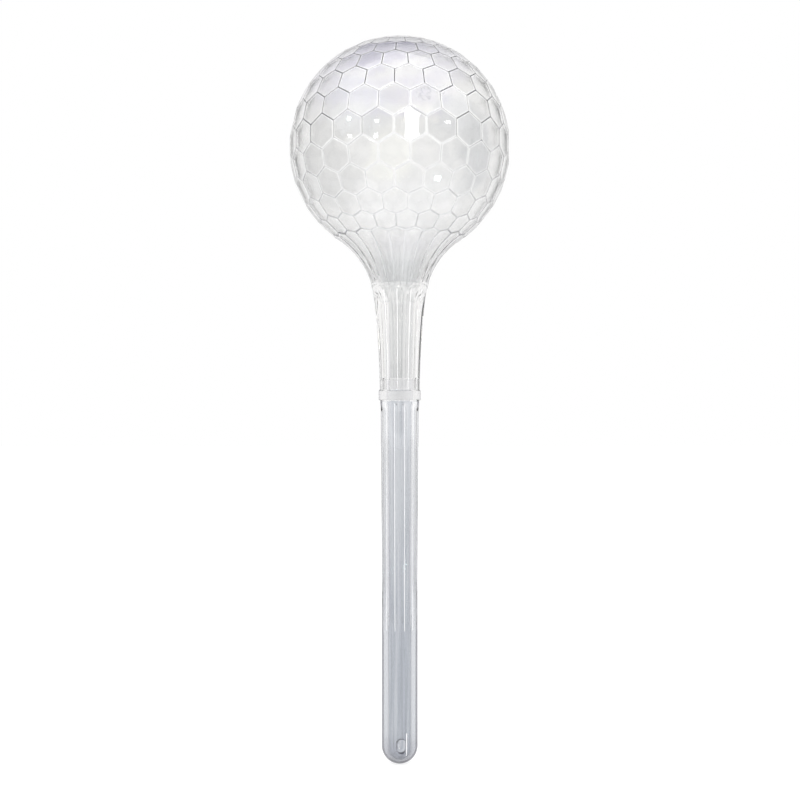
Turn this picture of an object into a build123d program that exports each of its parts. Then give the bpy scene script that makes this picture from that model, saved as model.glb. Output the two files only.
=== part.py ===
from build123d import *
from math import cos, radians, sin
import os

# Watering globe in clear plastic: a hollow globe moulded in flat hexagon facets, whose funnel
# and fluted neck plug over the spigot of a hollow stem. The stem is pushed into the soil and
# lets water out through a drip hole near its rounded tip.
# Millimetres and degrees. +Z is up, the origin is the lowest point of the tip, and -Y is the front.

# Globe: every facet is a flat that touches one sphere
globe_flat_radius = 40.8
globe_wall = 1.0
facets_around = 23
rows_above = 7
rows_below = 5
row_reach_angle = 83.0
row_step_angle = 9.0
facet_turn = 5.1

# Funnel, from the lowest facets down to the neck
funnel_height = 16.7
funnel_foot_radius = 10.7
funnel_section_shares = (0.0, 0.2, 0.4, 0.6, 0.8, 1.0)
funnel_bore_radius = 6.2
throat_radius = 4.8
throat_depth = 6.5

# Neck, down to the mouth that rests on the stem
neck_length = 43.7
neck_step = 0.1
neck_bend_length = 8.5
neck_bend_radius = 9.25
neck_wall = 1.45
neck_bore_radius = 4.2
neck_plain_length = 3.0
rim_height = 4.0
rim_stand = 0.45
rim_chamfer = 0.35
mouth_chamfer = 0.2

# Stem, from the tip up to the shoulder that carries the neck
stem_length = 135.3
stem_radius = 6.75
stem_straight_length = 48.0
stem_tip_wall = 1.8
stem_bore_tip_radius = 4.1
stem_bore_top_radius = 4.7
shoulder_width = 1.35
shoulder_chamfer = 0.3
stem_flute_top_gap = 1.2
stem_flute_top_fade = 2.0
stem_flute_foot_fade = 22.0

# Spigot on top of the stem, inside the socket of the neck
spigot_wall = 1.25
spigot_length = 8.0
spigot_chamfer = 0.4
socket_clearance = 0.05
socket_end_gap = 0.4

# Flutes are flats cut side by side into the round walls of the neck and the stem
flutes_around = 12
neck_flute_turn = 9.3
stem_flute_turn = 0.0

# Drip hole through the front wall of the stem
drip_hole_width = 3.2
drip_hole_height = 5.4
drip_hole_level = 7.8
drip_hole_turn = 6.4

# How far a cutting shape runs past what it cuts
overrun = 2.0

# What follows from the sizes above
front_angle = -90.0
facet_pitch = 360.0 / facets_around
facet_side_share = cos(radians(facet_pitch / 2))
flute_flat_share = cos(radians(180.0 / flutes_around))
spigot_radius = stem_bore_top_radius + spigot_wall
spigot_top = stem_length + spigot_length
shoulder_radius = spigot_radius + shoulder_width
socket_radius = spigot_radius + socket_clearance
socket_top = spigot_top + socket_end_gap
mouth_height = stem_length
neck_mouth_radius = socket_radius + neck_wall
rim_radius = neck_mouth_radius + rim_stand
foot_height = mouth_height + neck_length


def row_latitude(row):
    """Latitude of a row of facets: the rows crowd towards the poles as their hexagons narrow."""
    return radians(row_reach_angle * sin(radians(row_step_angle * row)))


def corner(flat_radius, middle_row, edge_row):
    """Radius and height where the middle of a facet of one row meets the edge between two of the next."""
    middle_latitude = row_latitude(middle_row)
    edge_latitude = row_latitude(edge_row)
    a, b = cos(middle_latitude), sin(middle_latitude)
    c, d = cos(edge_latitude) * facet_side_share, sin(edge_latitude)
    scale_to_radius = flat_radius / (a * d - b * c)
    return (d - b) * scale_to_radius, (a - c) * scale_to_radius


def top_corner(flat_radius):
    """Radius and height where the edge between two facets of the highest row meets the flat top."""
    latitude = row_latitude(rows_above)
    return flat_radius * (1 - sin(latitude)) / (cos(latitude) * facet_side_share), flat_radius


def facet_outline(flat_radius, row):
    """Corners of a facet on its own plane, measured from the point where it touches the sphere."""
    latitude = row_latitude(row)
    side_angle = radians(facet_pitch / 2)
    if row == rows_above:
        upper = top_corner(flat_radius)
        corners = [(upper, side_angle), (upper, -side_angle)]
    else:
        upper = corner(flat_radius, row + 1, row)
        corners = [(upper, side_angle), (corner(flat_radius, row, row + 1), 0), (upper, -side_angle)]
    if row > -rows_below:
        lower = corner(flat_radius, row - 1, row)
        corners += [(lower, -side_angle), (corner(flat_radius, row, row - 1), 0), (lower, side_angle)]
    return [
        (radius * sin(angle), height * cos(latitude) - radius * cos(angle) * sin(latitude))
        for (radius, height), angle in corners
    ]


def lowest_corner(flat_radius):
    """Radius and height of the lowest corners of the facets, where the petals of the funnel start."""
    return corner(flat_radius, 1 - rows_below, -rows_below)


globe_centre_height = foot_height + funnel_height - lowest_corner(globe_flat_radius)[1]


def facet_planes(flat_radius, row):
    """Planes of all facets of a row. Every other row is turned by half a facet."""
    latitude = row_latitude(row)
    planes = []
    for index in range(facets_around):
        azimuth = radians(front_angle + facet_turn + (index + row % 2 / 2) * facet_pitch)
        outward = Vector(cos(latitude) * cos(azimuth), cos(latitude) * sin(azimuth), sin(latitude))
        origin = outward * flat_radius + Vector(0, 0, globe_centre_height)
        planes.append(Plane(origin=origin, x_dir=(-sin(azimuth), cos(azimuth), 0), z_dir=outward))
    return planes


def petal_arc(flat_radius, foot_radius):
    """Section down the middle of a petal: an arc that leaves the lowest facet without a kink."""
    radius, height = lowest_corner(flat_radius)
    slope = row_latitude(rows_below)
    with BuildLine() as petal:
        TangentArc(
            (radius * facet_side_share, globe_centre_height + height),
            (foot_radius, foot_height),
            tangent=(-sin(slope), -cos(slope)),
        )
    return petal.line.edge()


def faceted_bulb(flat_radius, foot_radius):
    """Closed form of the globe and funnel: flat facets, and a petal below each facet of the last row."""
    skin = []
    for row in range(-rows_below, rows_above + 1):
        with BuildSketch(*facet_planes(flat_radius, row)) as row_facets:
            Polygon(*facet_outline(flat_radius, row), align=None)
        skin += row_facets.sketch.faces()

    top_radius, top_height = top_corner(flat_radius)
    top_turn = front_angle + facet_turn + (rows_above % 2 + 1) * facet_pitch / 2
    with BuildSketch(Plane.XY.offset(globe_centre_height + top_height)) as top_facet:
        RegularPolygon(top_radius, facets_around, rotation=top_turn)

    petal = petal_arc(flat_radius, foot_radius)
    petal_turn = front_angle + facet_turn + (rows_below % 2 + 1) * facet_pitch / 2
    sections = []
    for share in funnel_section_shares:
        point = petal @ share
        with BuildSketch(Plane.XY.offset(point.Y)) as section:
            RegularPolygon(point.X, facets_around, major_radius=False, rotation=petal_turn)
        sections += section.sketch.faces()

    with BuildPart() as petals:
        loft(sections)
    skin += top_facet.sketch.faces() + petals.faces().sort_by(Axis.Z)[:-1]
    return Solid(Shell(skin))


def neck_top(foot_radius):
    """Section point where the round neck starts, a little outside the corners of the petals."""
    return foot_radius / facet_side_share + neck_step, foot_height


def flute_cutter(outline, half_width):
    """Shape that cuts one flute on the +X side, from the closed outline of its section."""
    with BuildPart() as cutter:
        with BuildSketch(Plane.XZ):
            add(outline)
            make_face()
        extrude(amount=half_width, both=True)
    return cutter.part


# Outside and bore of the neck, as sections from the mouth up to the funnel
with BuildLine() as neck_section:
    neck_arc = TangentArc(
        (neck_mouth_radius, mouth_height), (neck_bend_radius, foot_height - neck_bend_length), tangent=(0, 1)
    )
    neck_bend = TangentArc(neck_arc @ 1, neck_top(funnel_foot_radius), tangent=neck_arc % 1)

with BuildLine() as bore_section:
    bore_taper = Line((neck_bore_radius, socket_top), (throat_radius, foot_height - throat_depth))
    bore_bend = TangentArc(bore_taper @ 1, neck_top(funnel_bore_radius), tangent=bore_taper % 1)
    Polyline(
        bore_bend @ 1, (0, foot_height), (0, mouth_height), (socket_radius + mouth_chamfer, mouth_height),
        (socket_radius, mouth_height + mouth_chamfer), (socket_radius, socket_top), bore_taper @ 0,
    )

# One flute of the neck: its flat follows the neck and rises to a point below the funnel
flute_point = neck_bend @ (1 - neck_plain_length / neck_bend.length)
with BuildLine() as neck_flute_section:
    neck_flat = TangentArc(
        (neck_mouth_radius * flute_flat_share, mouth_height),
        (neck_bend_radius * flute_flat_share, foot_height - neck_bend_length),
        tangent=(0, 1),
    )
    Polyline(
        neck_flat @ 1, flute_point, (funnel_foot_radius + overrun, flute_point.Y),
        (funnel_foot_radius + overrun, mouth_height), neck_flat @ 0,
    )
neck_flute = flute_cutter(neck_flute_section.line, funnel_foot_radius)

# Globe with its funnel, fluted neck, rim and socket
with BuildPart() as globe:
    add(faceted_bulb(globe_flat_radius, funnel_foot_radius))
    with BuildSketch(Plane.XZ):
        with BuildLine():
            add(neck_section.line)
            Polyline(neck_bend @ 1, (0, foot_height), (0, mouth_height), neck_arc @ 0)
        make_face()
    revolve(axis=Axis.Z)
    with PolarLocations(0, flutes_around, start_angle=front_angle + neck_flute_turn):
        add(neck_flute, mode=Mode.SUBTRACT)
    with BuildSketch(Plane.XZ) as rim_section:
        with Locations((0, mouth_height)):
            Rectangle(rim_radius, rim_height, align=Align.MIN)
        chamfer(rim_section.vertices().group_by(Axis.X)[-1], length=rim_chamfer)
    revolve(axis=Axis.Z)
    add(faceted_bulb(globe_flat_radius - globe_wall, funnel_bore_radius), mode=Mode.SUBTRACT)
    with BuildSketch(Plane.XZ):
        add(bore_section.line)
        make_face()
    revolve(axis=Axis.Z, mode=Mode.SUBTRACT)

# One flute of the stem: flat up to the shoulder, and it runs out where the stem turns straight
widening_per_length = (shoulder_radius - stem_radius) / (stem_length - stem_straight_length)
flute_top = stem_length - stem_flute_top_gap
flute_top_radius = shoulder_radius - widening_per_length * stem_flute_top_gap
full_top = flute_top - stem_flute_top_fade
full_top_radius = flute_top_radius - widening_per_length * stem_flute_top_fade
full_foot = stem_straight_length + stem_flute_foot_fade
full_foot_radius = stem_radius + widening_per_length * stem_flute_foot_fade
with BuildLine() as stem_flute_section:
    Polyline(
        (flute_top_radius, flute_top),
        (full_top_radius * flute_flat_share, full_top),
        (full_foot_radius * flute_flat_share, full_foot),
        (stem_radius, stem_straight_length),
        (shoulder_radius + overrun, stem_straight_length),
        (shoulder_radius + overrun, flute_top),
        close=True,
    )
stem_flute = flute_cutter(stem_flute_section.line, shoulder_radius)

# Stem with its shoulder, spigot, bore, flutes and drip hole
bore_floor = stem_tip_wall + stem_bore_tip_radius
drip_azimuth = radians(front_angle + drip_hole_turn)
drip_plane = Plane(
    origin=(0, 0, drip_hole_level),
    x_dir=(-sin(drip_azimuth), cos(drip_azimuth), 0),
    z_dir=(cos(drip_azimuth), sin(drip_azimuth), 0),
)
with BuildPart() as stem:
    with BuildSketch(Plane.XZ):
        with BuildLine():
            TangentArc((stem_radius, stem_radius), (0, 0), tangent=(0, -1))
            Polyline(
                (stem_radius, stem_radius), (stem_radius, stem_straight_length),
                (shoulder_radius, stem_length - shoulder_chamfer),
                (shoulder_radius - shoulder_chamfer, stem_length), (spigot_radius, stem_length),
                (spigot_radius, spigot_top - spigot_chamfer), (spigot_radius - spigot_chamfer, spigot_top),
                (0, spigot_top), (0, 0),
            )
        make_face()
    revolve(axis=Axis.Z)
    with PolarLocations(0, flutes_around, start_angle=front_angle + stem_flute_turn):
        add(stem_flute, mode=Mode.SUBTRACT)
    with BuildSketch(Plane.XZ):
        with BuildLine():
            TangentArc((stem_bore_tip_radius, bore_floor), (0, stem_tip_wall), tangent=(0, -1))
            Polyline(
                (stem_bore_tip_radius, bore_floor), (stem_bore_top_radius, spigot_top),
                (0, spigot_top), (0, stem_tip_wall),
            )
        make_face()
    revolve(axis=Axis.Z, mode=Mode.SUBTRACT)
    with BuildSketch(drip_plane):
        SlotOverall(drip_hole_height, drip_hole_width, rotation=90)
    extrude(amount=stem_radius, mode=Mode.SUBTRACT)

globe.part.label = "globe"
stem.part.label = "stem"
os.makedirs("parts", exist_ok=True)
export_step(globe.part, "parts/globe.step")
export_step(stem.part, "parts/stem.step")
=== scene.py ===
"""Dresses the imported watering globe: a clear faceted ball and neck, plugged onto a clear fluted stem."""

import logging
import math
from dataclasses import dataclass, field
from enum import Enum

import bmesh
import bpy
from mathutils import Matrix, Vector


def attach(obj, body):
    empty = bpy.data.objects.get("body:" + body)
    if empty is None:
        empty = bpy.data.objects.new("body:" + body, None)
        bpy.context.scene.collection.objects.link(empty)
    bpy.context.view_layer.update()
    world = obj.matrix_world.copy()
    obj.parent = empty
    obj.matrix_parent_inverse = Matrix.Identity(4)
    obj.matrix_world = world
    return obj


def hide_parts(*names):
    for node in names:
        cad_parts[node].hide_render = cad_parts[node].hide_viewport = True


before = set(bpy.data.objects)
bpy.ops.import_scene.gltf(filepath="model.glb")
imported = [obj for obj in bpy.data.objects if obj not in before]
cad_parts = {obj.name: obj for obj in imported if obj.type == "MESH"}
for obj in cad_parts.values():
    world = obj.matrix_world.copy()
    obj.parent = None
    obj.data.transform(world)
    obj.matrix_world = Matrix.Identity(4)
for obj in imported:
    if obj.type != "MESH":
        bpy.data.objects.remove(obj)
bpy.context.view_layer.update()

logging.basicConfig(level=logging.INFO, format="%(message)s")
log = logging.getLogger("watering_globe")

# Metres and radians, except where a docstring says degrees. The front is -Y.
MM = 0.001
FRONT = -math.pi / 2
TURN = 2 * math.pi
TINY = 1e-6
WELD = 2e-6
SHARP_ANGLE = math.radians(7.0)
WHOLE_HEIGHT = 270.0 * MM

Point = tuple[float, float, float]
Colour = tuple[float, float, float]
Pair = tuple[float, float]
Section = list[Pair]
Ring = list[bmesh.types.BMVert]
Inputs = dict[str | int, object]

WHITE: Colour = (1.0, 1.0, 1.0)


def in_mm(x: float, y: float, z: float) -> Point:
    """A point that is given in millimetres."""
    return (x * MM, y * MM, z * MM)


class Wall(Enum):
    """The part of a moulding's surface that a face belongs to, which decides its finish."""

    OUTSIDE = 0
    BEVEL = 1
    CREASE = 2
    INSIDE = 3
    BORE = 4
    SEAT = 5
    RIDGE = 6
    HOLE = 7
    FOLD = 8
    PAINTED_GLINT = 9


Finishes = dict[Wall, bpy.types.Material]


class Nodes:
    """A node tree in the making, with one call for each node and its links."""

    def __init__(self, tree: bpy.types.NodeTree) -> None:
        """Wraps a tree."""
        self.tree = tree

    def add(self, kind: str, inputs: Inputs | None = None, **options: object) -> bpy.types.Node:
        """Adds a node, sets its options, and fills its inputs.

        Args:
            kind: Type of the node.
            inputs: Field, socket or plain value for each input that is filled, by its name or number.
            options: Values of the node's own options.

        Returns:
            The node.
        """
        node = self.tree.nodes.new(kind)
        for name, value in options.items():
            setattr(node, name, value)
        self.fill(node, inputs or {})
        return node

    def fill(self, node: bpy.types.Node, inputs: Inputs) -> None:
        """Links fields and sockets to a node's inputs, and sets other inputs to plain values.

        Args:
            node: The node.
            inputs: Field, socket or plain value for each input, by its name or number.
        """
        for name, value in inputs.items():
            value = value.socket if isinstance(value, Formula) else value
            if isinstance(value, bpy.types.NodeSocket):
                self.tree.links.new(value, node.inputs[name])
            else:
                node.inputs[name].default_value = value

    def field(self, value: bpy.types.NodeSocket | float) -> "Formula":
        """A socket or a number as a field."""
        return Formula(self, value)

    def vector(self, x: object, y: object, z: object) -> bpy.types.NodeSocket:
        """A vector from its three parts."""
        return self.add("ShaderNodeCombineXYZ", {0: x, 1: y, 2: z}).outputs[0]

    def parts(self, vector: bpy.types.NodeSocket) -> list["Formula"]:
        """The three parts of a vector as fields."""
        return [self.field(part) for part in self.add("ShaderNodeSeparateXYZ", {0: vector}).outputs]

    def vector_math(self, operation: str, *values: object) -> bpy.types.NodeSocket:
        """Adds one Vector Math node, and gives the vector or the number that it puts out."""
        node = self.add("ShaderNodeVectorMath", dict(enumerate(values)), operation=operation)
        return node.outputs["Value" if operation in ("DOT_PRODUCT", "DISTANCE") else "Vector"]

    def object_place(self) -> bpy.types.NodeSocket:
        """The place on the object, in its own frame."""
        return self.add("ShaderNodeTexCoord").outputs["Object"]

    def ramp(self, value: object, limits: Pair, ends: Pair = (0.0, 1.0)) -> "Formula":
        """A field that goes in a straight line from one end to the other between two limits of a value.

        Args:
            value: The value.
            limits: Where the field leaves its first end, and where it reaches its second.
            ends: What the field is there and beyond.

        Returns:
            The field.
        """
        names = ("Value", "From Min", "From Max", "To Min", "To Max")
        inputs = dict(zip(names, (value, *limits, *ends)))
        return self.field(self.add("ShaderNodeMapRange", inputs).outputs[0])

    def smooth_mask(self, value: object, none: float, full: float) -> "Formula":
        """A soft mask that is 0 at one limit of a value and 1 at the other."""
        inputs = {"Value": value, "From Min": none, "From Max": full}
        node = self.add("ShaderNodeMapRange", inputs, interpolation_type="SMOOTHSTEP")
        return self.field(node.outputs[0])

    def mix(self, share: object, below: object, above: Colour) -> bpy.types.NodeSocket:
        """Mixes a colour over another one.

        Args:
            share: How much of the upper colour shows.
            below: The colour underneath.
            above: The colour on top.

        Returns:
            The socket that carries the mixed colour.
        """
        node = self.add("ShaderNodeMix", data_type="RGBA")
        lower, upper = [number for number, socket in enumerate(node.inputs) if socket.type == "RGBA"]
        self.fill(node, {0: share, lower: below, upper: (*above, 1.0)})
        return next(socket for socket in node.outputs if socket.type == "RGBA")


class Formula:
    """A float field in a node tree, which Python's operators extend with Math nodes."""

    def __init__(self, nodes: Nodes, socket: bpy.types.NodeSocket | float) -> None:
        """Wraps the socket that carries the value, or a plain number."""
        self.nodes = nodes
        self.socket = socket

    def math(self, operation: str, *others: "Formula | float") -> "Formula":
        """Adds one Math node with this value and the others as its operands."""
        node = self.nodes.add("ShaderNodeMath", dict(enumerate((self, *others))), operation=operation)
        return self.nodes.field(node.outputs[0])

    def __add__(self, other: "Formula | float") -> "Formula":
        """Sum."""
        return self.math("ADD", other)

    def __sub__(self, other: "Formula | float") -> "Formula":
        """Difference."""
        return self.math("SUBTRACT", other)

    def __mul__(self, other: "Formula | float") -> "Formula":
        """Product."""
        return self.math("MULTIPLY", other)

    def __truediv__(self, other: "Formula | float") -> "Formula":
        """Quotient."""
        return self.math("DIVIDE", other)

    def either(self, other: "Formula", share: "Formula") -> "Formula":
        """This value where share is 0, and the other where it is 1."""
        return self + (other - self) * share


def new_material(name: str) -> tuple[bpy.types.Material, Nodes]:
    """A new material with its nodes."""
    material = bpy.data.materials.new(name)
    material.use_nodes = True
    return material, Nodes(material.node_tree)


def add_object(name: str, data: bpy.types.ID) -> bpy.types.Object:
    """Makes an object of a mesh, lamp or camera and links it to the scene."""
    made = bpy.data.objects.new(name, data)
    bpy.context.scene.collection.objects.link(made)
    return made


def evaluated_mesh(made: bpy.types.Object) -> bpy.types.Mesh:
    """A plain mesh of an object as its modifiers leave it."""
    bpy.context.view_layer.update()
    evaluated = made.evaluated_get(bpy.context.evaluated_depsgraph_get())
    return bpy.data.meshes.new_from_object(evaluated)


@dataclass(frozen=True)
class FacetRule:
    """The rule that lays hexagon facets on a ball: each one is a flat that touches the same sphere."""

    around: int = 23
    rows_above: int = 7
    rows_below: int = 4
    reach: float = math.radians(83.0)
    step: float = math.radians(9.0)
    turn: float = math.radians(5.1)
    shade_seed: int = 5
    tilt_seed: int = 11

    @property
    def pitch(self) -> float:
        """Angle from one facet of a row to the next."""
        return TURN / self.around

    @property
    def side_share(self) -> float:
        """Radius of a facet's middle as a share of the radius of its sides."""
        return math.cos(self.pitch / 2)

    def latitude(self, row: int) -> float:
        """Latitude of a row of facets."""
        return self.reach * math.sin(self.step * row)

    def corner(self, flat_radius: float, middle_row: int, edge_row: int) -> Pair:
        """Where the middle of a facet of one row meets the edge between two facets of the next.

        Args:
            flat_radius: Radius of the sphere that all facets touch.
            middle_row: Row of the facet whose middle line is followed.
            edge_row: Row of the two facets whose edge is met.

        Returns:
            Radius and height of the point, from the ball's centre.
        """
        a, b = math.cos(self.latitude(middle_row)), math.sin(self.latitude(middle_row))
        c, d = math.cos(self.latitude(edge_row)) * self.side_share, math.sin(self.latitude(edge_row))
        scale = flat_radius / (a * d - b * c)
        return (d - b) * scale, (a - c) * scale


class FacetSkin:
    """Geometry Nodes that lay the facets of the ball, with a groove round each of them."""

    def __init__(self, rule: FacetRule, finishes: Finishes) -> None:
        """Builds the tree.

        Args:
            rule: Counts and angles of the facets.
            finishes: Materials of the flats, the bevels and the creases.
        """
        self.rule = rule
        self.tree = bpy.data.node_groups.new("facet_skin", "GeometryNodeTree")
        self.nodes = Nodes(self.tree)
        ball = ("Flat Radius", "Centre Height")
        groove = ("Crease Width", "Groove Width", "Groove Depth")
        self.sizes: dict[str, str] = {}
        for name in (*ball, *groove, "Facet Dome", "Facet Tilt"):
            socket = self.tree.interface.new_socket(name, in_out="INPUT", socket_type="NodeSocketFloat")
            self.sizes[name] = socket.identifier
        self.tree.interface.new_socket("Geometry", in_out="OUTPUT", socket_type="NodeSocketGeometry")
        self.inputs = self.nodes.add("NodeGroupInput").outputs
        self._lay(finishes)

    def _size(self, name: str) -> Formula:
        """One of the tree's named inputs as a field."""
        return self.nodes.field(self.inputs[name])

    def _stored(self, name: str) -> Formula:
        """A named attribute as a field."""
        node = self.nodes.add("GeometryNodeInputNamedAttribute", {"Name": name}, data_type="FLOAT")
        return self.nodes.field(node.outputs["Attribute"])

    def _store(
        self,
        geometry: bpy.types.NodeSocket,
        name: str,
        value: object,
        domain: str = "POINT",
        chosen: bpy.types.NodeSocket | bool = True,
    ) -> bpy.types.NodeSocket:
        """Stores a field under a name.

        Args:
            geometry: The geometry that carries it.
            name: Name of the attribute.
            value: The field, a socket or a number.
            domain: Where it is stored.
            chosen: Selection of the elements that get it.

        Returns:
            The geometry with the attribute.
        """
        inputs = {"Geometry": geometry, "Name": name, "Value": value, "Selection": chosen}
        kind = "GeometryNodeStoreNamedAttribute"
        return self.nodes.add(kind, inputs, data_type="FLOAT", domain=domain).outputs["Geometry"]

    def _latitude(self, row: Formula) -> Formula:
        """Latitude of a row, with the flat top counted as one more row that faces straight up."""
        on_ball = (row * self.rule.step).math("SINE") * self.rule.reach
        above = row.math("GREATER_THAN", self.rule.rows_above + 0.5)
        return on_ball.either(self.nodes.field(math.pi / 2), above)

    def _azimuth(self, row: Formula, column: Formula) -> Formula:
        """Azimuth of a column of a row, of which every other row is turned by half a facet."""
        return (column + row.math("FLOORED_MODULO", 2.0) * 0.5) * self.rule.pitch + (FRONT + self.rule.turn)

    def _round_place(self, azimuth: Formula, radius: Formula, height: Formula) -> bpy.types.NodeSocket:
        """A point at an azimuth, at a distance from the axis and a height."""
        return self.nodes.vector(azimuth.math("COSINE") * radius, azimuth.math("SINE") * radius, height)

    def _corner_place(self, row: Formula, column: Formula, index: Formula) -> bpy.types.NodeSocket:
        """Place of a facet's corner, from its row, its column and the corner's number.

        Args:
            row: Row of the facet, 0 on the equator.
            column: Place of the facet in its row.
            index: Number of the vertex in the realised mesh.

        Returns:
            The socket that carries the position.
        """
        angle = index.math("FLOORED_MODULO", 6.0) * (TURN / 6) + TURN / 12
        across = angle.math("COSINE")
        sideways = across.math("SIGN") * across.math("ABSOLUTE").math("GREATER_THAN", 0.1)
        beside = sideways.math("ABSOLUTE")
        own = self._latitude(row)
        other = self._latitude(row + angle.math("SINE").math("SIGN"))
        middle = own.either(other, beside)
        edge = other.either(own, beside)
        a, b = middle.math("COSINE"), middle.math("SINE")
        c, d = edge.math("COSINE") * self.rule.side_share, edge.math("SINE")
        scale = self._size("Flat Radius") / (a * d - b * c)
        height = (a - c) * scale + self._size("Centre Height")
        return self._round_place(self._azimuth(row, column + sideways * 0.5), (d - b) * scale, height)

    def _lay(self, finishes: Finishes) -> None:
        """Lays the tree from the first point to the output.

        Args:
            finishes: Materials that the tree sets.
        """
        rule, add = self.rule, self.nodes.add
        rows = rule.rows_above + rule.rows_below + 1
        points = add("GeometryNodeMeshLine", {"Count": rule.around * rows})
        index = self.nodes.field(add("GeometryNodeInputIndex").outputs[0])
        row = (index / rule.around + 0.001).math("FLOOR") - rule.rows_below
        geometry = self._store(points.outputs[0], "facet_row", row)
        geometry = self._store(geometry, "facet_column", index.math("FLOORED_MODULO", rule.around))
        hexagon = add("GeometryNodeMeshCircle", {"Vertices": 6}, fill_type="NGON")
        inputs = {"Points": geometry, "Instance": hexagon.outputs[0]}
        instances = add("GeometryNodeInstanceOnPoints", inputs)
        realised = add("GeometryNodeRealizeInstances", {0: instances.outputs[0]})

        row, column = self._stored("facet_row"), self._stored("facet_column")
        shade = add("FunctionNodeRandomValue", {"Seed": rule.shade_seed}, data_type="FLOAT").outputs[1]
        shaded = self._store(realised.outputs[0], "facet_shade", shade, domain="FACE")
        corners = self._corner_place(row, column, index)
        placed = add("GeometryNodeSetPosition", {"Geometry": shaded, "Position": corners})
        welded = self._sink(self._step_in(placed.outputs[0], row))
        geometry = add("GeometryNodeRealizeInstances", {0: welded}).outputs[0]
        for wall in (Wall.OUTSIDE, Wall.BEVEL, Wall.CREASE):
            chosen = (self._stored("wall") - wall.value).math("ABSOLUTE").math("LESS_THAN", 0.5)
            inputs = {"Geometry": geometry, "Selection": chosen, "Material": finishes[wall]}
            geometry = add("GeometryNodeSetMaterial", inputs).outputs[0]
        add("NodeGroupOutput", {0: geometry})

    def _step_in(self, geometry: bpy.types.NodeSocket, row: Formula) -> bpy.types.NodeSocket:
        """Divides each facet into its crease, its bevel and the rings of its slightly domed flat.

        Args:
            geometry: The plain facets.
            row: Row of the facets.

        Returns:
            The divided facets, with the depth of each point stored.
        """
        dome, depth = self._size("Facet Dome"), self._size("Groove Depth")
        crease, groove = self._size("Crease Width"), self._size("Groove Width")
        share = self.nodes.field(1.0)
        round_row = self._latitude(row).math("COSINE") * self._size("Flat Radius")
        width = round_row * (2 * math.tan(self.rule.pitch / 2))
        at_crease = share - crease * 2.0 / width
        at_groove = share - groove * 2.0 / width
        geometry = self._store(geometry, "depth", dome + depth)
        geometry = self._store(geometry, "wall", Wall.OUTSIDE.value, domain="FACE")
        steps = [
            (at_crease, dome + depth - depth * crease / groove, Wall.CREASE),
            (at_groove, dome, Wall.BEVEL),
        ]
        steps += [(at_groove * part, dome * part**2, Wall.OUTSIDE) for part in (0.75, 0.5, 0.25, 0.0)]
        top: bpy.types.NodeSocket | bool = True
        for inner, sunk, wall in steps:
            inputs = {"Mesh": geometry, "Selection": top, "Offset Scale": 0.0, "Individual": True}
            ring = self.nodes.add("GeometryNodeExtrudeMesh", inputs, mode="FACES").outputs
            top = ring["Top"]
            inputs = {"Geometry": ring["Mesh"], "Selection": top, "Scale": inner / share}
            inset = self.nodes.add("GeometryNodeScaleElements", inputs, domain="FACE")
            share = inner
            geometry = self._store(inset.outputs[0], "depth", sunk, chosen=top)
            geometry = self._store(geometry, "wall", wall.value, domain="FACE", chosen=ring["Side"])
        return geometry

    def _sink(self, geometry: bpy.types.NodeSocket) -> bpy.types.NodeSocket:
        """Sinks every point by its depth, tilts each facet a little and welds the facets to each other.

        Args:
            geometry: The divided facets.

        Returns:
            The welded skin.
        """
        nodes = self.nodes
        radius, depth, tilt = self._size("Flat Radius"), self._stored("depth"), self._size("Facet Tilt")
        centre = nodes.vector(0.0, 0.0, self._size("Centre Height"))
        position = nodes.add("GeometryNodeInputPosition").outputs[0]
        outward = nodes.vector_math("SUBTRACT", position, centre)

        row, column = self._stored("facet_row"), self._stored("facet_column")
        number = row * self.rule.around + column
        inputs = {"Min": (-1, -1, -1), "Max": (1, 1, 1), "ID": number, "Seed": self.rule.tilt_seed}
        lean = nodes.add("FunctionNodeRandomValue", inputs, data_type="FLOAT_VECTOR").outputs[0]
        latitude = self._latitude(row)
        middle = self._round_place(
            self._azimuth(row, column), latitude.math("COSINE") * radius, latitude.math("SINE") * radius
        )
        from_middle = nodes.vector_math("SUBTRACT", outward, middle)
        leaned = nodes.field(nodes.vector_math("DOT_PRODUCT", lean, from_middle))
        rise = leaned * tilt - tilt * radius * (2 * math.sin(self.rule.pitch / 2))
        on_flat = depth.math("LESS_THAN", self._size("Facet Dome") + self._size("Groove Depth") * 0.5)
        unit = nodes.vector_math("NORMALIZE", outward)
        move = {0: unit, "Scale": rise * on_flat - depth}
        moved = nodes.add("ShaderNodeVectorMath", move, operation="SCALE").outputs[0]
        shifted = nodes.add("GeometryNodeSetPosition", {"Geometry": geometry, "Offset": moved}).outputs[0]
        return nodes.add("GeometryNodeMergeByDistance", {"Geometry": shifted, "Distance": WELD}).outputs[0]

    def mesh(self, **sizes: float) -> bpy.types.Mesh:
        """Evaluates the tree with the given sizes.

        Args:
            sizes: Values of the tree's inputs, with underscores for the blanks in their names.

        Returns:
            The skin as a plain mesh.
        """
        carrier = add_object("facet_carrier", bpy.data.meshes.new("facet_carrier"))
        modifier = carrier.modifiers.new("facets", "NODES")
        modifier.node_group = self.tree
        for name, value in sizes.items():
            modifier[self.sizes[name.replace("_", " ").title()]] = value
        skin = evaluated_mesh(carrier)
        carrier.modifiers.remove(modifier)
        bpy.data.objects.remove(carrier)
        return skin


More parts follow.
